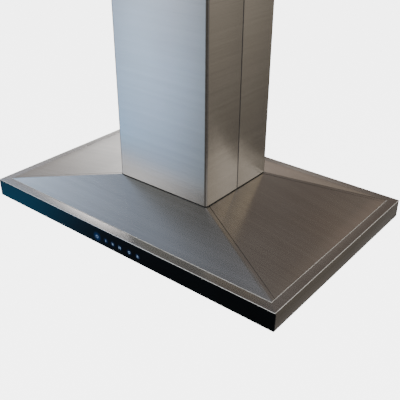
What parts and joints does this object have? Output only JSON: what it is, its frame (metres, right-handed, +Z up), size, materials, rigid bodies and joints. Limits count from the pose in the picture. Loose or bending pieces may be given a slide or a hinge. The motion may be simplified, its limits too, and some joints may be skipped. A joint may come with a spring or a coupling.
{
  "type": "island range hood",
  "caption": "Ceiling-hung island range hood: low pyramid canopy with black glass touch fascia, telescopic chimney, blower, lamps and grease filters that tilt down.",
  "frame": {"origin": "centre of the four ceiling fixing holes, on the ceiling plate's upper face, with the hood hanging below", "axes": "+Z up towards the ceiling, +X to the right along the glass fascia's long side, -Y towards the glass front"},
  "size_m": [0.9, 0.588, 0.848],
  "materials": {
    "brushed_steel": "fine straight brushing, satin",
    "galvanised_steel": "zinc coated, dull",
    "zinc_hardware": "zinc plated",
    "black_glass": "back-painted black, polished",
    "glowing_marks": "lit from behind",
    "gasket_foam": "matte foam",
    "black_plastic": "moulded, fine texture",
    "grey_plastic": "moulded",
    "white_plastic": "moulded",
    "circuit_board": "solder mask",
    "frosted_lens": "frosted",
    "die_cast": "as cast",
    "filter_aluminium": "satin sheet",
    "filter_mesh": "expanded mesh in layers",
    "motor_casing": "dark paint",
    "rubber": "matte",
    "spring_steel": "bright wire",
    "lead_sheath": "flexible sheath"
  },
  "bodies": {
    "ceiling_frame": {"ceiling_plate": "galvanised_steel", "upper_uprights": "galvanised_steel", "upper_chimney_front": "brushed_steel", "upper_chimney_rear": "brushed_steel", "chimney_screws": "zinc_hardware", "frame_rivets": "zinc_hardware"},
    "hood": {"lower_uprights": "galvanised_steel", "frame_brace": "galvanised_steel", "clamp_bolts": "zinc_hardware", "frame_screws": "zinc_hardware", "canopy_rim": "brushed_steel", "canopy_front": "brushed_steel", "canopy_rear": "brushed_steel", "canopy_left": "brushed_steel", "canopy_right": "brushed_steel", "top_frame": "galvanised_steel", "seat_gasket": "gasket_foam", "underside_panel": "brushed_steel", "front_glass": "black_glass", "touch_marks": "glowing_marks", "touch_board": "circuit_board", "control_housing": "black_plastic", "lamp_bezels": "zinc_hardware", "lamp_lenses": "frosted_lens", "lamp_housings": "die_cast", "blower_box": "galvanised_steel", "scroll_band": "galvanised_steel", "scroll_left": "galvanised_steel", "scroll_right": "galvanised_steel", "motor": "motor_casing", "motor_mount": "galvanised_steel", "rubber_mounts": "rubber", "capacitor": "white_plastic", "outlet_collar": "black_plastic", "damper_pin": "zinc_hardware", "electronics_box": "galvanised_steel", "electronics_lid": "galvanised_steel", "power_board": "circuit_board", "terminal_block": "white_plastic", "cable_gland": "black_plastic", "harness": "lead_sheath"},
    "lower_chimney": {"lower_chimney_front": "brushed_steel", "lower_chimney_rear": "brushed_steel"},
    "blower_wheel": {"impeller": "galvanised_steel", "wheel_blades": "galvanised_steel", "motor_shaft": "zinc_hardware"},
    "damper_flap_front": {"damper_front": "grey_plastic"},
    "damper_flap_rear": {"damper_rear": "grey_plastic"},
    "filter_left": {"filter_frame_1": "filter_aluminium", "filter_mesh_1": "filter_mesh", "latch_spring_1": "spring_steel"},
    "filter_middle": {"filter_frame_2": "filter_aluminium", "filter_mesh_2": "filter_mesh", "latch_spring_2": "spring_steel"},
    "filter_right": {"filter_frame_3": "filter_aluminium", "filter_mesh_3": "filter_mesh", "latch_spring_3": "spring_steel"},
    "latch_left": {"filter_latch_1": "black_plastic"},
    "latch_middle": {"filter_latch_2": "black_plastic"},
    "latch_right": {"filter_latch_3": "black_plastic"}
  },
  "joints": [
    {"name": "frame_slide", "type": "slide", "parent": "ceiling_frame", "child": "hood", "axis": [0, 0, 1], "range_m": [-0.12, 0.2]},
    {"name": "chimney_lift", "type": "slide", "parent": "hood", "child": "lower_chimney", "axis": [0, 0, 1], "range_m": [0, 0.2]},
    {"name": "wheel_spin", "type": "hinge", "parent": "hood", "child": "blower_wheel", "pos_m": [0, 0.006, -0.65], "axis": [1, 0, 0], "continuous": true},
    {"name": "damper_front_swing", "type": "hinge", "parent": "hood", "child": "damper_flap_front", "pos_m": [0, 0, -0.522], "axis": [-1, 0, 0], "range_deg": [0, 80]},
    {"name": "damper_rear_swing", "type": "hinge", "parent": "hood", "child": "damper_flap_rear", "pos_m": [0, 0, -0.522], "axis": [1, 0, 0], "range_deg": [0, 80]},
    {"name": "filter_left_tilt", "type": "hinge", "parent": "hood", "child": "filter_left", "pos_m": [-0.27, 0.163, -0.8458], "axis": [1, 0, 0], "range_deg": [0, 75]},
    {"name": "filter_middle_tilt", "type": "hinge", "parent": "hood", "child": "filter_middle", "pos_m": [0, 0.163, -0.8458], "axis": [1, 0, 0], "range_deg": [0, 75]},
    {"name": "filter_right_tilt", "type": "hinge", "parent": "hood", "child": "filter_right", "pos_m": [0.27, 0.163, -0.8458], "axis": [1, 0, 0], "range_deg": [0, 75]},
    {"name": "latch_left_push", "type": "slide", "parent": "filter_left", "child": "latch_left", "axis": [0, 1, 0], "range_m": [0, 0.006], "stiffness_N_per_m": 300, "springref_m": -0.004},
    {"name": "latch_middle_push", "type": "slide", "parent": "filter_middle", "child": "latch_middle", "axis": [0, 1, 0], "range_m": [0, 0.006], "stiffness_N_per_m": 300, "springref_m": -0.004},
    {"name": "latch_right_push", "type": "slide", "parent": "filter_right", "child": "latch_right", "axis": [0, 1, 0], "range_m": [0, 0.006], "stiffness_N_per_m": 300, "springref_m": -0.004}
  ]
}
